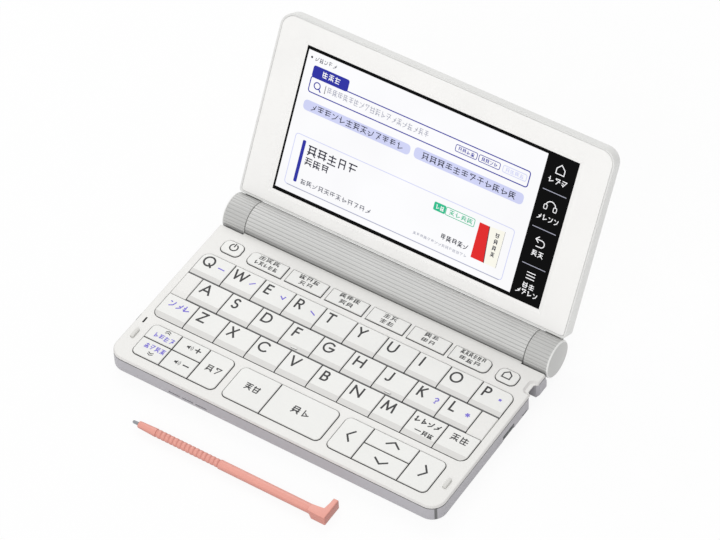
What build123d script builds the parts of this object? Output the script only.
from build123d import *
import math
import os

# Pocket electronic dictionary: a clamshell with 48 keys, a display lid on a barrel hinge, and a stylus.
# Millimetres, +Z up. The origin is the centre of the base's underside, X runs along the hinge.

# ---- overall -------------------------------------------------------------------------------------
WIDTH = 144.0                # both shells, along the hinge
FRONT_Y = -45.6              # front wall of the base
HINGE_Y = 37.4               # hinge axis, behind the origin
HINGE_Z = 8.2                # hinge axis, above the table
BARREL_R = 7.6               # outside of the barrel and of its two end knuckles
LID_LENGTH = 83.2            # hinge axis to the lid's far edge
OPEN_ANGLE = 119.0           # lid opening as modelled, 0 when closed
CORNER_R = 6.0               # outer corners of both shells

PAST = 1.0                   # how far a cutter reaches beyond the face that it opens
TOLERANCE = 0.01             # for picking out edges by their place

# ---- clearances ----------------------------------------------------------------------------------
SEAT = 0.15                  # between a curved piece and its cradle
KEY_CLEAR = 0.3              # key to the edge of its opening
KEY_GAP = 0.4                # key to key inside a cluster
PIN_CLEAR = 0.05             # hinge pin in its bore, radial
PIECE_GAP = 0.1              # loose fit between pieces that don't move
TURN_GAP = 0.3               # end faces that turn past each other

# ---- base shell ----------------------------------------------------------------------------------
CASE_HEIGHT = 7.3            # lower case, up to the parting line
DECK_THICK = 1.0
DECK_EDGE_R = 0.8            # soft upper edge of the deck
CASE_BEVEL = 1.0             # lower edge of the lower case
PARTING = (0.4, 0.3)         # groove below the deck's edge: depth, height
CRADLE_LIP = 4.0             # case floor stops this far in front of the hinge axis
KNUCKLE_GAP = 1.1            # open gap between the base and the turning knuckles
CORNER_LIP = 7.8             # under the knuckles the base stops this far in front of the axis
KEY_PROUD = 0.45             # key tops above the deck
DECK_Z = CASE_HEIGHT + DECK_THICK
KEY_Z = DECK_Z + KEY_PROUD

# ---- hinge barrel --------------------------------------------------------------------------------
KNUCKLE_LENGTH = 10.5        # end section that turns with the lid
BARREL_HALF = WIDTH / 2 - KNUCKLE_LENGTH    # fixed centre section, half length
RIB_COUNT = 33               # fine lengthwise ribs round the barrel
RIB_DEPTH = 0.14
PIN_R = 2.8
PIN_LENGTH = 7.0
PIN_END = 1.0                # bore beyond the end of the pin
BARREL_TONGUE = (3.5, 4.0, 3.2)      # rib that locks the barrel into the base: end inset, height, reach
TONGUE_Z = 4.0
DISC_RIM = 0.5               # bevelled rim of the end discs

# ---- cells and their cover -----------------------------------------------------------------------
CELL_R = 5.25
CELL_LENGTH = 44.5
CELL_NUB = (1.9, 0.8)        # radius and height of the positive end
CELL_GAP = 0.2               # behind each cell
BAY_SPARE = 1.2              # contact springs, in the length of the bay
COVER_THICK = 1.4
COVER_REACH = 2.4            # cover's edges past the two planes through the hinge axis
COVER_END = 1.4              # cover beyond the bay at each end

# ---- keys ----------------------------------------------------------------------------------------
ROW_KEYS = ("qwertyuiop", "asdfghjkl", "zxcvbnm")
KEY_MARGIN = 3.75            # deck beside the letter block
KEY_PITCH = (WIDTH - 2 * KEY_MARGIN) / len(ROW_KEYS[0])
ROW_PITCH = 12.0
ROW_TOP_Y = 14.15            # rear edge of the letter block
KEY_TRAVEL = 0.7
KEY_SKIRT = 1.0              # cap below the deck's top
KEY_CHAMFER = 0.2
SLOPE_DEPTH = 2.4            # sloping front strip of a letter key
SLOPE_DROP = 0.5
BLOCK_CORNER_R = 3.0
CLUSTER_CORNER_R = 2.2
STEM_WIDTH = 2.4
STEM_LENGTH = 0.6
HOMING = (2.6, 0.6, 0.25)    # bars on the slopes of F and J: length, width, height
HOMING_INSET = 1.2           # front of the key to the middle of the bar

FUNCTION_Y = (17.4, 23.8)    # front and rear of the function row
FUNCTION_COUNT = 6
FUNCTION_MARGIN = 18.0       # deck beside the function keys
FUNCTION_GAP = 2.0
FUNCTION_PITCH = (WIDTH - 2 * FUNCTION_MARGIN) / FUNCTION_COUNT
FUNCTION_WIDTH = FUNCTION_PITCH - FUNCTION_GAP
ROUND_KEY_X = WIDTH / 2 - 11.2       # power and home keys
ROUND_KEY_WIDTH = 8.4

CLUSTER_Y = (-41.1, -25.3)   # front and rear of the bottom row
SPLIT_Y = -32.6              # between the upper and the lower keys
LEFT_COLUMNS = (-4.711, -3.795, -2.868, -2.04)       # edges of the bottom row's keys, in key pitches
MIDDLE_COLUMNS = (-1.788, -0.553, 1.333)
ARROW_COLUMNS = (1.568, 2.392, 3.806, 4.674)

# ---- circuit board -------------------------------------------------------------------------------
BOARD_THICK = 0.8
DOME_WIDTH = 3.6
DOME_HEIGHT = 0.25
DOME_SPARE = 0.05            # dome to the stem of a pressed key
BOARD_REAR_GAP = 1.2         # board to the barrel's tongue
BOARD_MARGIN = 2.2           # inside the outer walls
USB_SHELL = (5.5, 7.4, 2.4)  # depth, width, height of the receptacle
USB_SETBACK = 1.0            # mouth of the receptacle, inside the right wall
USB_LEG = 1.5
USB_WALL = 0.4
USB_TONGUE = (3.7, 0.6, 0.3, 1.0)    # width, thickness, above the middle, behind the mouth

# ---- right wall, front wall, underside -------------------------------------------------------------
USB_Y = 2.9
USB_Z = 2.1
USB_CUT = (7.8, 2.8, 0.3)    # width, height and cut corners of the opening
STRAP_SLOT = (3.2, 0.8, 3.0) # length, height, depth
STRAP_SLOT_YZ = (14.1, 1.6)
SPEAKER_SLOT = (5.0, 0.6, 2.0)
SPEAKER_COUNT = 3
SPEAKER_PITCH = 6.0
SPEAKER_INSET = 29.8         # left wall to the middle of the first slot
SPEAKER_Z = 2.3
FOOT = (10.0, 4.0, 1.0)      # length, width, thickness
FOOT_CUT = 1.2               # cut corners of a foot
FOOT_INSET = 12.0            # side wall to the middle of a foot
FOOT_Y = (-36.0, 10.0)
BUMP = (1.4, 4.6)            # width and length of the deck's rubber bumps
BUMP_INSET = 3.8
BUMP_Y = -32.9
BUMP_RECESS = 0.4
BUMP_BEVEL = 0.25
BUMP_SPARE = 0.05            # bump to the closed lid
SLOT_CUT = 0.3               # cut corners of small slots, as a share of their width
MIC_SLOT = (0.7, 3.0)
MIC_INSET = 3.2
MIC_Y = -25.6

# ---- stylus and its garage -----------------------------------------------------------------------
STYLUS_XY = (-47.6, -64.2)   # tip on the table
GRIP_R = 1.65
SHAFT_R = 1.85
TIP = (2.8, 0.62)            # length, radius
NOSE = (8.4, 1.35)           # length, front radius
RING_COUNT = 15
RING_PITCH = 1.8
RING_DEPTH = 0.22
GRIP_SIDES = 10
SHAFT_LENGTH = 38.0
HEAD_R = 2.2
HEAD_LENGTH = 9.0
HEAD_BEVEL = 0.6
ARM = (3.8, 6.0)             # width, and reach beside the head
ARM_CORNER_R = 1.1
GARAGE_Y = 20.8
GARAGE_Z = 2.45
GARAGE_CLEAR = 0.05
NOTCH = (6.0, 5.8)           # depth from the side wall, width
NOTCH_CUT = (0.3, 1.0)       # cut corners inside the notch and where it meets the wall
DECK_NOTCH = (1.4, 5.0)      # smaller notch in the deck above: depth, width
DECK_NOTCH_CUT = (0.7, 0.4)
SCOOP = (3.6, 7.0)           # finger scoop in the deck round it: depth from the side wall, length
SCOOP_FALL = (0.7, 0.8)      # depth of the scoop's floor, and how far its sides slope in
SCOOP_CUT = 1.3              # cut corners of the scoop

# ---- lid -----------------------------------------------------------------------------------------
LID_GAP = 0.4                # lid's lower edge to the barrel
FACE_W = -1.05               # bezel face, behind the hinge axis
BACK_W = (-8.2, -7.0)        # back of the lid, at the hinge and at the far edge
RIM = 0.8                    # back cover's rim round the bezel
BEZEL_THICK = 1.2
BEZEL_LINE = 0.1
BACK_EDGE_R = 1.8
LID_FOOT_R = 1.5             # lid's corners at the hinge
GLASS_X = WIDTH / 2 - 13.2   # half width of the display glass
GLASS_V = (14.5, 73.75)      # from the hinge axis
GLASS_DROP = 0.4
SLOPE_WIDTH = 1.4            # sloping frame round the glass
PANEL_LIP = 1.6              # panel under the bezel
PANEL_THICK = 2.2
LID_HOLLOW = (4.0, 1.4)      # inset and depth of the space behind the panel
TONGUE = (6.5, 3.0, 6.0)     # knuckle's arm in the lid: width, thickness, length
TONGUE_W = -4.1
TONGUE_INSET = 1.5           # arm to the knuckle's inner end
TONGUE_ROOT = 5.3            # arm starts this far from the hinge axis

CELL_BAY_R = CELL_R + SEAT
BAY_HALF = CELL_LENGTH + BAY_SPARE / 2
COVER_HALF = BAY_HALF + COVER_END
COVER_R = BARREL_R - COVER_THICK
KEY_BASE_Z = DECK_Z - KEY_SKIRT
STEM_Z = KEY_BASE_Z - STEM_LENGTH
BOARD_TOP = STEM_Z - KEY_TRAVEL - DOME_SPARE - DOME_HEIGHT
BOARD_Z = BOARD_TOP - BOARD_THICK
BOARD_REAR = HINGE_Y - BARREL_R - BARREL_TONGUE[2] - BOARD_REAR_GAP
SHAFT_TOTAL = TIP[0] + NOSE[0] + RING_COUNT * RING_PITCH + SHAFT_LENGTH
GARAGE_R = SHAFT_R + GARAGE_CLEAR


def block(x0, x1, y0, y1, z0, z1):
    """Box between two corners."""
    size = (x1 - x0, y1 - y0, z1 - z0)
    return Pos((x0 + x1) / 2, (y0 + y1) / 2, (z0 + z1) / 2) * Box(*size)


def rod(radius, x0, x1, y=0.0, z=0.0):
    """Cylinder along X."""
    return Pos((x0 + x1) / 2, y, z) * Rot(0, 90, 0) * Cylinder(radius, x1 - x0)


def rounded(x0, x1, y0, y1, radii):
    """Flat outline with one radius for each corner: front left, front right, rear right, rear left; 0 is sharp."""
    corners = ((x0, y0), (x1, y0), (x1, y1), (x0, y1))
    signs = ((1, 1), (-1, 1), (-1, -1), (1, -1))
    edges = []
    ends = []
    for (x, y), (sx, sy), r, turn in zip(corners, signs, radii, (180, 270, 0, 90)):
        if r > 0:
            arc = CenterArc((x + sx * r, y + sy * r), r, turn, 90)
            ends.append((arc @ 0, arc @ 1))
            edges.append(arc)
        else:
            ends.append(((x, y), (x, y)))
    for i in range(4):
        edges.append(Line(ends[i][1], ends[(i + 1) % 4][0]))
    return make_face(Wire(edges))


def slab(face, z0, z1):
    """Flat outline pulled up between two heights."""
    return Pos(0, 0, z0) * extrude(face, z1 - z0, dir=(0, 0, 1))


def cut_slot(width, length):
    """Narrow outline along Y with cut corners."""
    return chamfer(Rectangle(width, length).vertices(), width * SLOT_CUT)


def grown(radii, clear):
    """Corner radii of an outline set off by a clearance; sharp corners stay sharp."""
    return [r + clear if r else 0 for r in radii]


# ---- key layout: name -> (x0, x1, y0, y1, corner radii, sloping front) -----------------------------

def corner_radii(left, right, front, rear, radius):
    """Corners that lie on a cluster's own corners are rounded, the others are sharp."""
    corners = ((left, front), (right, front), (right, rear), (left, rear))
    return tuple(radius if side and end else 0 for side, end in corners)


def cell(x0, x1, y0, y1, sides, radius, slope=False):
    """One key of a cluster: half a gap is taken off each side that faces a neighbour."""
    left, right, front, rear = sides
    half = KEY_GAP / 2
    return (
        x0 if left else x0 + half,
        x1 if right else x1 - half,
        y0 if front else y0 + half,
        y1 if rear else y1 - half,
        corner_radii(left, right, front, rear, radius),
        slope,
    )


def letter_keys():
    keys = {}
    names = (
        list(ROW_KEYS[0]),
        list(ROW_KEYS[1]),
        ["shift"] + list(ROW_KEYS[2]) + ["space", "delete"],
    )
    for row, row_names in enumerate(names):
        y1 = ROW_TOP_Y - row * ROW_PITCH
        left = -KEY_PITCH * len(row_names) / 2
        for i, name in enumerate(row_names):
            edge = row != 1
            sides = (edge and i == 0, edge and i == len(row_names) - 1, row == 2, row == 0)
            x0 = left + i * KEY_PITCH
            keys["key_" + name] = cell(x0, x0 + KEY_PITCH, y1 - ROW_PITCH, y1, sides, BLOCK_CORNER_R, True)
    return keys


def function_keys():
    keys = {}
    y0, y1 = FUNCTION_Y
    big = CLUSTER_CORNER_R
    for name, x in (("key_power", -ROUND_KEY_X), ("key_home", ROUND_KEY_X)):
        half = ROUND_KEY_WIDTH / 2
        keys[name] = (x - half, x + half, y0, y1, (big,) * 4, False)
    last = FUNCTION_COUNT - 1
    for i in range(FUNCTION_COUNT):
        x = (i - last / 2) * FUNCTION_PITCH
        half = FUNCTION_WIDTH / 2
        left = big if i == 0 else 0
        right = big if i == last else 0
        keys[f"key_dictionary_{i + 1}"] = (x - half, x + half, y0, y1, (left, right, right, left), False)
    return keys


def bottom_clusters():
    """Edges of the keys in the three groups of the bottom row."""
    return [[KEY_PITCH * column for column in columns] for columns in (LEFT_COLUMNS, MIDDLE_COLUMNS, ARROW_COLUMNS)]


def bottom_keys():
    y0, y1 = CLUSTER_Y
    (a, b, c, d), (e, f, g), (h, i, j, k) = bottom_clusters()
    r = CLUSTER_CORNER_R
    return {
        "key_previous": cell(a, b, SPLIT_Y, y1, (True, False, False, True), r),
        "key_next": cell(a, b, y0, SPLIT_Y, (True, False, True, False), r),
        "key_volume_up": cell(b, c, SPLIT_Y, y1, (False, False, False, True), r),
        "key_volume_down": cell(b, c, y0, SPLIT_Y, (False, False, True, False), r),
        "key_history": cell(c, d, y0, y1, (False, True, True, True), r),
        "key_back": cell(e, f, y0, y1, (True, False, True, True), r),
        "key_enter": cell(f, g, y0, y1, (False, True, True, True), r),
        "key_left": cell(h, i, y0, y1, (True, False, True, True), r),
        "key_up": cell(i, j, SPLIT_Y, y1, (False, False, False, True), r),
        "key_down": cell(i, j, y0, SPLIT_Y, (False, False, True, False), r),
        "key_right": cell(j, k, y0, y1, (False, True, True, True), r),
    }


def filler_cells():
    """Fixed blank half keys at both ends of the middle letter row."""
    y1 = ROW_TOP_Y - ROW_PITCH
    edge = KEY_PITCH * len(ROW_KEYS[0]) / 2
    inner = KEY_PITCH * len(ROW_KEYS[1]) / 2
    return [
        cell(-edge, -inner, y1 - ROW_PITCH, y1, (True, False, False, False), 0, True),
        cell(inner, edge, y1 - ROW_PITCH, y1, (False, True, False, False), 0, True),
    ]


KEYS = {**letter_keys(), **function_keys(), **bottom_keys()}


def cap(x0, x1, y0, y1, radii, slope, base):
    """Key top: chamfered upper edges, and on the letter keys a strip that slopes down to the front."""
    body = slab(rounded(x0, x1, y0, y1, radii), base, KEY_Z)
    if slope:
        profile = Polyline(
            (x0 - PAST, y0 - PAST, KEY_Z - SLOPE_DROP),
            (x0 - PAST, y0, KEY_Z - SLOPE_DROP),
            (x0 - PAST, y0 + SLOPE_DEPTH, KEY_Z),
            (x0 - PAST, y0 + SLOPE_DEPTH, KEY_Z + PAST),
            (x0 - PAST, y0 - PAST, KEY_Z + PAST),
            close=True,
        )
        body -= extrude(make_face(profile), x1 - x0 + 2 * PAST, dir=(1, 0, 0))
    top = body.faces().sort_by(Axis.Z)[-1]
    sides = [e for e in top.edges() if abs(e.center().Y - (y0 + SLOPE_DEPTH)) > TOLERANCE or not slope]
    return chamfer(sides, KEY_CHAMFER)


def make_key(name):
    x0, x1, y0, y1, radii, slope = KEYS[name]
    x = (x0 + x1) / 2
    y = (y0 + y1) / 2
    key = cap(x0, x1, y0, y1, radii, slope, KEY_BASE_Z)
    half = STEM_WIDTH / 2
    key += block(x - half, x + half, y - half, y + half, STEM_Z, KEY_BASE_Z + KEY_CHAMFER)
    if name in ("key_f", "key_j"):
        length, width, height = HOMING
        bar_z = KEY_Z - SLOPE_DROP * (1 - HOMING_INSET / SLOPE_DEPTH)
        bar = Pos(x, y0 + HOMING_INSET, bar_z) * Box(length, width, 2 * height)
        key += bar
    return key


# ---- base ----------------------------------------------------------------------------------------

def base_outline(rear, inset=0.0):
    x1 = WIDTH / 2 - inset
    r = CORNER_R - inset
    return rounded(-x1, x1, FRONT_Y + inset, rear, (r, r, 0, 0))


def rim_edges(face, rear):
    """Outer edges of a shell's top or bottom face, without the one along the hinge."""
    return face.edges().filter_by_position(Axis.Y, FRONT_Y - PAST, rear - TOLERANCE)


def barrel_space():
    """What the base leaves free for the barrel and, with a wider gap, for the turning knuckles."""
    far = WIDTH / 2 + PAST
    space = rod(BARREL_R + SEAT, -far, far, HINGE_Y, HINGE_Z)
    for side in (-1, 1):
        x0, x1 = sorted((side * BARREL_HALF, side * far))
        space += rod(BARREL_R + KNUCKLE_GAP, x0, x1, HINGE_Y, HINGE_Z)
        reach = HINGE_Y - BARREL_R - KNUCKLE_GAP
        space += block(x0, x1, reach, HINGE_Y, HINGE_Z, HINGE_Z + BARREL_R)
        space += block(x0, x1, HINGE_Y - CORNER_LIP, HINGE_Y, -PAST, HINGE_Z)
    reach = HINGE_Y - BARREL_R - SEAT
    space += block(-BARREL_HALF, BARREL_HALF, reach, HINGE_Y, HINGE_Z, HINGE_Z + BARREL_R)
    return space


def side_notch(size, cuts):
    """Outline of an opening through the right wall at the stylus garage, with cut corners."""
    depth, width = size
    inner, outer = cuts
    x0 = WIDTH / 2 - depth
    edge = WIDTH / 2
    half = [
        (x0, -width / 2 + inner),
        (x0 + inner, -width / 2),
        (edge - outer, -width / 2),
        (edge, -width / 2 - outer),
        (edge + PAST, -width / 2 - outer),
    ]
    other = [(x, -y) for x, y in reversed(half)]
    return Pos(0, GARAGE_Y, 0) * make_face(Polyline(*half, *other, close=True))


def tongue_space():
    inset, height, reach = BARREL_TONGUE
    half = BARREL_HALF - inset
    y0 = HINGE_Y - BARREL_R - reach
    return block(-half, half, y0, HINGE_Y, TONGUE_Z - height / 2, TONGUE_Z + height / 2)


def board_outline(grow):
    m = BOARD_MARGIN - grow
    x1 = WIDTH / 2 - m
    face = rounded(-x1, x1, FRONT_Y + m, BOARD_REAR + grow, (CORNER_R - m, CORNER_R - m, 0, 0))
    depth, width = NOTCH
    edge = WIDTH / 2 - depth - BOARD_MARGIN + 2 * grow
    gap = width / 2 + BOARD_MARGIN / 2 - grow
    return face - Pos(edge + x1 / 2, GARAGE_Y, 0) * Rectangle(x1, 2 * gap)


def usb_opening(depth):
    width, height, cut = USB_CUT
    face = Plane.YZ * chamfer(Rectangle(width, height).vertices(), cut)
    return Pos(WIDTH / 2 - depth, USB_Y, USB_Z) * extrude(face, depth + PAST, dir=(1, 0, 0))


def lower_case():
    rear = HINGE_Y - CRADLE_LIP
    case = slab(base_outline(rear), 0, CASE_HEIGHT)
    case = chamfer(rim_edges(case.faces().sort_by(Axis.Z)[0], rear), CASE_BEVEL)
    case -= barrel_space()
    case -= tongue_space()
    case -= slab(board_outline(PIECE_GAP), BOARD_Z, CASE_HEIGHT + PAST)
    case -= slab(side_notch(NOTCH, NOTCH_CUT), -PAST, CASE_HEIGHT + PAST)
    depth, height = PARTING
    shell = slab(base_outline(rear), CASE_HEIGHT - height, CASE_HEIGHT)
    case -= shell - slab(base_outline(rear + PAST, depth), CASE_HEIGHT - height - PAST, CASE_HEIGHT + PAST)
    case -= rod(GARAGE_R, WIDTH / 2 - NOTCH[0] - SHAFT_TOTAL - PAST, WIDTH / 2 - PAST, GARAGE_Y, GARAGE_Z)
    case -= usb_opening(USB_SHELL[0] + USB_SETBACK + PIECE_GAP)
    case -= usb_post(PIECE_GAP)
    length, height, depth = STRAP_SLOT
    y, z = STRAP_SLOT_YZ
    case -= block(WIDTH / 2 - depth, WIDTH / 2 + PAST, y - length / 2, y + length / 2, z - height / 2, z + height / 2)
    length, height, depth = SPEAKER_SLOT
    for i in range(SPEAKER_COUNT):
        x = SPEAKER_INSET + i * SPEAKER_PITCH - WIDTH / 2
        case -= block(x - length / 2, x + length / 2, FRONT_Y - PAST, FRONT_Y + depth,
                      SPEAKER_Z - height / 2, SPEAKER_Z + height / 2)
    for x, y in foot_places():
        case -= Pos(x, y, 0) * foot(PIECE_GAP)
    return case - key_well("key_home")


def key_well(name):
    """Room in the case for a key that sits outside the board's own space."""
    x0, x1, y0, y1, radii, slope = KEYS[name]
    c = KEY_CLEAR
    face = rounded(x0 - c, x1 + c, y0 - c, y1 + c, grown(radii, c))
    return slab(face, STEM_Z - KEY_TRAVEL - PIECE_GAP, CASE_HEIGHT + PAST)


def foot(grow):
    """Rubber foot with cut corners, or with a clearance its pocket."""
    length, width, thick = FOOT
    outline = chamfer(Rectangle(length + 2 * grow, width + 2 * grow).vertices(), FOOT_CUT)
    return slab(outline, 0, thick)


def foot_places():
    return [(side * (WIDTH / 2 - FOOT_INSET), y) for side in (-1, 1) for y in FOOT_Y]


def bump_places():
    return [(side * (WIDTH / 2 - BUMP_INSET), BUMP_Y) for side in (-1, 1)]


def rubber_pads():
    """Four feet set flush in the underside, and two bumps on the deck that the closed lid rests on."""
    pads = [Pos(x, y, 0) * foot(0) for x, y in foot_places()]
    top = HINGE_Z - FACE_W - BUMP_SPARE
    width, length = BUMP
    for x, y in bump_places():
        bump = slab(cut_slot(width, length), DECK_Z - BUMP_RECESS, top)
        bump = chamfer(bump.faces().sort_by(Axis.Z)[-1].edges(), BUMP_BEVEL)
        pads.append(Pos(x, y, 0) * bump)
    return Compound(pads)


def key_openings():
    c = KEY_CLEAR
    edge = KEY_PITCH * len(ROW_KEYS[0]) / 2
    r = BLOCK_CORNER_R + c
    bottom = ROW_TOP_Y - 3 * ROW_PITCH
    faces = [rounded(-edge - c, edge + c, bottom - c, ROW_TOP_Y + c, (r,) * 4)]
    for x0, x1, y0, y1, radii, slope in function_keys().values():
        faces.append(rounded(x0 - c, x1 + c, y0 - c, y1 + c, grown(radii, c)))
    y0, y1 = CLUSTER_Y
    r = CLUSTER_CORNER_R + c
    for xs in bottom_clusters():
        faces.append(rounded(xs[0] - c, xs[-1] + c, y0 - c, y1 + c, (r,) * 4))
    return faces


def scoop():
    """Finger scoop in the deck round the stylus notch: a flat floor inside sloping sides."""
    depth, length = SCOOP
    drop, slope = SCOOP_FALL
    wide = depth + slope + PAST
    face = Pos(WIDTH / 2 - depth + wide / 2, GARAGE_Y, 0) * Rectangle(wide, length)
    face = chamfer(face.vertices().group_by(Axis.X)[0], SCOOP_CUT)
    taper = math.degrees(math.atan2(slope, drop))
    return Pos(0, 0, DECK_Z) * extrude(face, -drop, taper=taper) + slab(face, DECK_Z, DECK_Z + PAST)


def keyboard_deck():
    rear = HINGE_Y - BARREL_R
    deck = slab(base_outline(rear), CASE_HEIGHT, DECK_Z)
    deck = fillet(rim_edges(deck.faces().sort_by(Axis.Z)[-1], rear), DECK_EDGE_R)
    deck -= barrel_space()
    for face in key_openings():
        deck -= slab(face, CASE_HEIGHT - PAST, DECK_Z + PAST)
    for x0, x1, y0, y1, radii, slope in filler_cells():
        wide = KEY_CLEAR + PAST
        outer = x0 - wide if x0 < 0 else x1 + wide
        inner = x1 if x0 < 0 else x0
        lo, hi = sorted((outer, inner))
        deck += block(lo, hi, y0, y1, CASE_HEIGHT, CASE_HEIGHT + DECK_THICK / 2)
        deck += cap(x0, x1, y0, y1, radii, slope, CASE_HEIGHT)
    deck -= scoop()
    deck -= slab(side_notch(DECK_NOTCH, DECK_NOTCH_CUT), CASE_HEIGHT - PAST, DECK_Z + PAST)
    pocket = cut_slot(BUMP[0] + 2 * PIECE_GAP, BUMP[1] + 2 * PIECE_GAP)
    for x, y in bump_places():
        deck -= Pos(x, y, 0) * slab(pocket, DECK_Z - BUMP_RECESS, DECK_Z + PAST)
    x = MIC_INSET - WIDTH / 2
    return deck - Pos(x, MIC_Y, 0) * slab(cut_slot(*MIC_SLOT), CASE_HEIGHT - PAST, DECK_Z + PAST)


def usb_box(inset, front):
    """Outer or inner box of the receptacle, whose mouth is just inside the right wall."""
    depth, width, height = USB_SHELL
    x1 = WIDTH / 2 - USB_SETBACK
    x0 = x1 - depth + inset
    half = width / 2 - inset
    return block(x0, x1 + front, USB_Y - half, USB_Y + half, USB_Z - height / 2 + inset, USB_Z + height / 2 - inset)


def usb_post(clear):
    """Solder legs between the receptacle and the board above it."""
    depth, width, height = USB_SHELL
    x0 = WIDTH / 2 - USB_SETBACK - depth - clear
    half = width / 2 + clear
    return block(x0, x0 + USB_LEG + 2 * clear, USB_Y - half, USB_Y + half, USB_Z, BOARD_Z + clear)


def usb_receptacle():
    depth, width, height = USB_SHELL
    shell = usb_box(0, 0) + usb_post(0) - usb_box(USB_WALL, PAST)
    x1 = WIDTH / 2 - USB_SETBACK
    wide, thick, rise, inset = USB_TONGUE
    z0 = USB_Z + rise
    return shell + block(x1 - depth, x1 - inset, USB_Y - wide / 2, USB_Y + wide / 2, z0, z0 + thick)


def main_board():
    """Circuit board with one dome switch under each key, and the charging receptacle below it."""
    board = slab(board_outline(0), BOARD_Z, BOARD_TOP)
    for x0, x1, y0, y1, radii, slope in KEYS.values():
        spot = Pos((x0 + x1) / 2, (y0 + y1) / 2, 0)
        board += spot * slab(Rectangle(DOME_WIDTH, DOME_WIDTH), BOARD_TOP, BOARD_TOP + DOME_HEIGHT)
    return board + usb_receptacle()


# ---- barrel --------------------------------------------------------------------------------------

def ribbed_rod(x0, x1):
    """Barrel skin: shallow ribs run its whole length."""
    points = []
    for i in range(2 * RIB_COUNT):
        radius = BARREL_R - RIB_DEPTH * (i % 2)
        turn = math.pi * i / RIB_COUNT
        points.append((radius * math.cos(turn), radius * math.sin(turn)))
    face = Plane.YZ * make_face(Polyline(*points, close=True))
    return Pos(x0, HINGE_Y, HINGE_Z) * extrude(face, x1 - x0, dir=(1, 0, 0))


def cover_zone(x_half, reach, inner_r, outer_r):
    """Lower rear quarter of the barrel wall; its inside is flat where the cover slides to the rear."""
    zone = rod(outer_r, -x_half, x_half, HINGE_Y, HINGE_Z)
    zone &= block(-x_half, x_half, HINGE_Y - reach, HINGE_Y + 2 * outer_r, HINGE_Z - 2 * outer_r, HINGE_Z + reach)
    zone -= rod(inner_r, -x_half - PAST, x_half + PAST, HINGE_Y, HINGE_Z)
    zone -= block(-x_half - PAST, x_half + PAST, HINGE_Y - 2 * reach, HINGE_Y, HINGE_Z - inner_r, HINGE_Z + inner_r)
    return zone


def hinge_barrel():
    barrel = ribbed_rod(-BARREL_HALF, BARREL_HALF)
    barrel += tongue_space()
    barrel -= rod(CELL_BAY_R, -BAY_HALF, BAY_HALF, HINGE_Y, HINGE_Z)
    mouth = Pos(0, BARREL_R, 0) * Box(2 * BAY_HALF, 2 * BARREL_R, 2 * CELL_BAY_R)
    barrel -= Pos(0, HINGE_Y, HINGE_Z) * Rot(-45, 0, 0) * mouth
    barrel -= cover_zone(COVER_HALF + PIECE_GAP, COVER_REACH + PIECE_GAP, COVER_R - PIECE_GAP, BARREL_R + PAST)
    for side in (-1, 1):
        x0, x1 = sorted((side * (BARREL_HALF - PIN_LENGTH - PIN_END), side * (BARREL_HALF + PAST)))
        barrel -= rod(PIN_R + PIN_CLEAR, x0, x1, HINGE_Y, HINGE_Z)
    return barrel


def battery_cover():
    cover = ribbed_rod(-COVER_HALF, COVER_HALF)
    cover &= cover_zone(COVER_HALF, COVER_REACH, COVER_R, BARREL_R + PAST)
    return cover


def battery_cells():
    cells = []
    nub_r, nub_h = CELL_NUB
    for i in range(2):
        x0 = -CELL_LENGTH + i * CELL_LENGTH
        x1 = x0 + CELL_LENGTH
        can = rod(CELL_R, x0 + CELL_GAP, x1 - nub_h, HINGE_Y, HINGE_Z)
        can += rod(nub_r, x1 - nub_h, x1, HINGE_Y, HINGE_Z)
        cells.append(can)
    return Compound(cells)


# ---- lid, in its own frame: X along the hinge, Y up the face, Z out of the face ----------------------

LID_PLACE = Pos(0, HINGE_Y, HINGE_Z) * Rot(180 - OPEN_ANGLE, 0, 0)
LID_Y = (BARREL_R + LID_GAP, LID_LENGTH)


def lid_outline(inset):
    x1 = WIDTH / 2 - inset
    top = CORNER_R - inset
    foot = LID_FOOT_R - inset / 2
    return rounded(-x1, x1, LID_Y[0] + inset, LID_Y[1] - inset, (foot, foot, top, top))


def tongue_box(side, clear):
    width, thick, length = TONGUE
    inner = BARREL_HALF + TURN_GAP + TONGUE_INSET
    x0, x1 = sorted((side * (inner - clear), side * (inner + width + clear)))
    y1 = LID_Y[0] + length + clear
    return block(x0, x1, TONGUE_ROOT, y1, TONGUE_W - thick / 2 - clear, TONGUE_W + thick / 2 + clear)


def lid_back_cover():
    near, far = BACK_W
    cover = slab(lid_outline(0), near, FACE_W)
    x0 = -WIDTH / 2 - PAST
    wedge = Polyline(
        (x0, LID_Y[0], near),
        (x0, LID_Y[1], far),
        (x0, LID_Y[1] + PAST, far),
        (x0, LID_Y[1] + PAST, near - PAST),
        (x0, LID_Y[0], near - PAST),
        close=True,
    )
    cover -= extrude(make_face(wedge), WIDTH + 2 * PAST, dir=(1, 0, 0))
    cover = fillet(cover.faces().sort_by(Axis.Z)[0].edges(), BACK_EDGE_R)
    bezel_floor = FACE_W - BEZEL_THICK
    cover -= slab(lid_outline(RIM), bezel_floor, FACE_W + PAST)
    x1 = GLASS_X + PANEL_LIP + PIECE_GAP
    y0 = GLASS_V[0] - PANEL_LIP - PIECE_GAP
    y1 = GLASS_V[1] + PANEL_LIP + PIECE_GAP
    cover -= block(-x1, x1, y0, y1, bezel_floor - PANEL_THICK, FACE_W)
    inset, depth = LID_HOLLOW
    floor = bezel_floor - PANEL_THICK
    cover -= block(-x1 + inset, x1 - inset, y0 + inset, y1 - inset, floor - depth, FACE_W)
    for side in (-1, 1):
        cover -= tongue_box(side, PIECE_GAP)
    return LID_PLACE * cover


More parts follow.
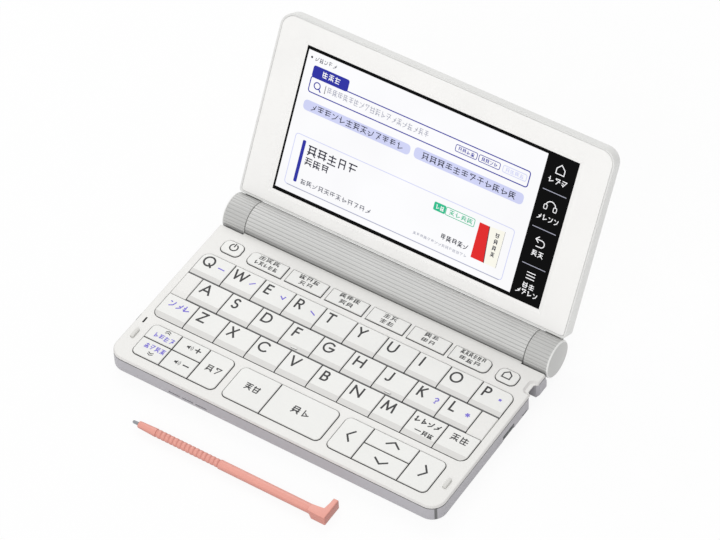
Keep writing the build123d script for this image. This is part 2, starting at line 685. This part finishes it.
def lid_bezel():
    bezel = slab(lid_outline(RIM + BEZEL_LINE), FACE_W - BEZEL_THICK, FACE_W)
    y0, y1 = GLASS_V
    bezel -= block(-GLASS_X, GLASS_X, y0, y1, FACE_W - BEZEL_THICK - PAST, FACE_W + PAST)
    mid = (y0 + y1) / 2
    half = (y1 - y0) / 2
    s = SLOPE_WIDTH
    low = Plane((0, mid, FACE_W - GLASS_DROP)) * Rectangle(2 * GLASS_X, 2 * half)
    high = Plane((0, mid, FACE_W)) * Rectangle(2 * (GLASS_X + s), 2 * (half + s))
    bezel -= loft([low.face(), high.face()])
    return LID_PLACE * bezel


def display_panel():
    """Touch glass that fills the bezel's window, on a display module that sits under the bezel."""
    y0, y1 = GLASS_V
    c = PIECE_GAP
    floor = FACE_W - BEZEL_THICK
    glass = block(-GLASS_X + c, GLASS_X - c, y0 + c, y1 - c, floor, FACE_W - GLASS_DROP)
    x1 = GLASS_X + PANEL_LIP
    module = block(-x1, x1, y0 - PANEL_LIP, y1 + PANEL_LIP, floor - PANEL_THICK, floor)
    return LID_PLACE * (glass + module)


def end_disc(side):
    """Smooth end of a knuckle with a bevelled rim."""
    outer_r = BARREL_R - RIB_DEPTH
    x0 = WIDTH / 2 - DISC_RIM
    points = ((x0, 0), (x0, outer_r), (WIDTH / 2, outer_r - DISC_RIM), (WIDTH / 2, 0))
    disc = revolve(make_face(Polyline(*points, close=True)), Axis.X)
    return disc if side > 0 else mirror(disc, Plane.YZ)


def hinge_knuckles():
    """Ribbed end sections that turn with the lid: an arm into the lid and a pin into the barrel."""
    knuckles = []
    for side in (-1, 1):
        inner = side * (BARREL_HALF + TURN_GAP)
        x0, x1 = sorted((inner, side * (WIDTH / 2 - DISC_RIM)))
        body = ribbed_rod(x0, x1)
        body += Pos(0, HINGE_Y, HINGE_Z) * end_disc(side)
        x0, x1 = sorted((side * (BARREL_HALF - PIN_LENGTH), inner))
        body += rod(PIN_R, x0, x1, HINGE_Y, HINGE_Z)
        body += LID_PLACE * tongue_box(side, 0)
        knuckles.append(body)
    return Compound(knuckles)


# ---- stylus, lying on the table in front -------------------------------------------------------------

def tapered(x, radius, length, end_radius):
    """Many-sided stretch of the stylus that narrows or widens along X."""
    section = Plane.YZ.offset(x) * RegularPolygon(radius, GRIP_SIDES)
    flat = math.cos(math.pi / GRIP_SIDES)
    return extrude(section, length, taper=math.degrees(math.atan2((radius - end_radius) * flat, length)))


def stylus_grip(x0):
    """Rings of the grip, each falling from its crest to the valleys beside it."""
    grip = Part()
    half = RING_PITCH / 2
    for i in range(RING_COUNT):
        crest = x0 + (i + 0.5) * RING_PITCH
        grip += tapered(crest, GRIP_R, half, GRIP_R - RING_DEPTH)
        grip += tapered(crest, GRIP_R, -half, GRIP_R - RING_DEPTH)
    return grip


def stylus():
    """One-piece stylus with grip rings and a head whose arm is bent to the side."""
    tip_len, tip_r = TIP
    nose_len, nose_r = NOSE
    grip_start = tip_len + nose_len
    grip_end = SHAFT_TOTAL - SHAFT_LENGTH
    body = rod(tip_r, 0, tip_len)
    body += tapered(tip_len, nose_r, nose_len, GRIP_R)
    body += stylus_grip(grip_start)
    body += rod(SHAFT_R, grip_end, SHAFT_TOTAL)
    x1 = SHAFT_TOTAL + HEAD_LENGTH
    head = rod(HEAD_R, SHAFT_TOTAL, x1)
    head = chamfer(head.edges().filter_by(GeomType.CIRCLE), HEAD_BEVEL)
    width, reach = ARM
    arm = block(x1 - width, x1, 0, HEAD_R + reach, HEAD_BEVEL - HEAD_R, HEAD_R - HEAD_BEVEL)
    arm = fillet(arm.edges().filter_by(Axis.Z).sort_by(Axis.Y)[-2:], ARM_CORNER_R)
    x, y = STYLUS_XY
    return Pos(x, y, HEAD_R) * (body + head + arm)


def main():
    os.makedirs("parts", exist_ok=True)
    pieces = {
        "lower_case": lower_case(),
        "keyboard_deck": keyboard_deck(),
        "rubber_pads": rubber_pads(),
        "hinge_barrel": hinge_barrel(),
        "battery_cover": battery_cover(),
        "battery_cells": battery_cells(),
        "main_board": main_board(),
        "lid_back_cover": lid_back_cover(),
        "lid_bezel": lid_bezel(),
        "display_panel": display_panel(),
        "hinge_knuckles": hinge_knuckles(),
        "stylus": stylus(),
    }
    for name in KEYS:
        pieces[name] = make_key(name)
    for name, shape in pieces.items():
        export_step(shape, f"parts/{name}.step")


main()
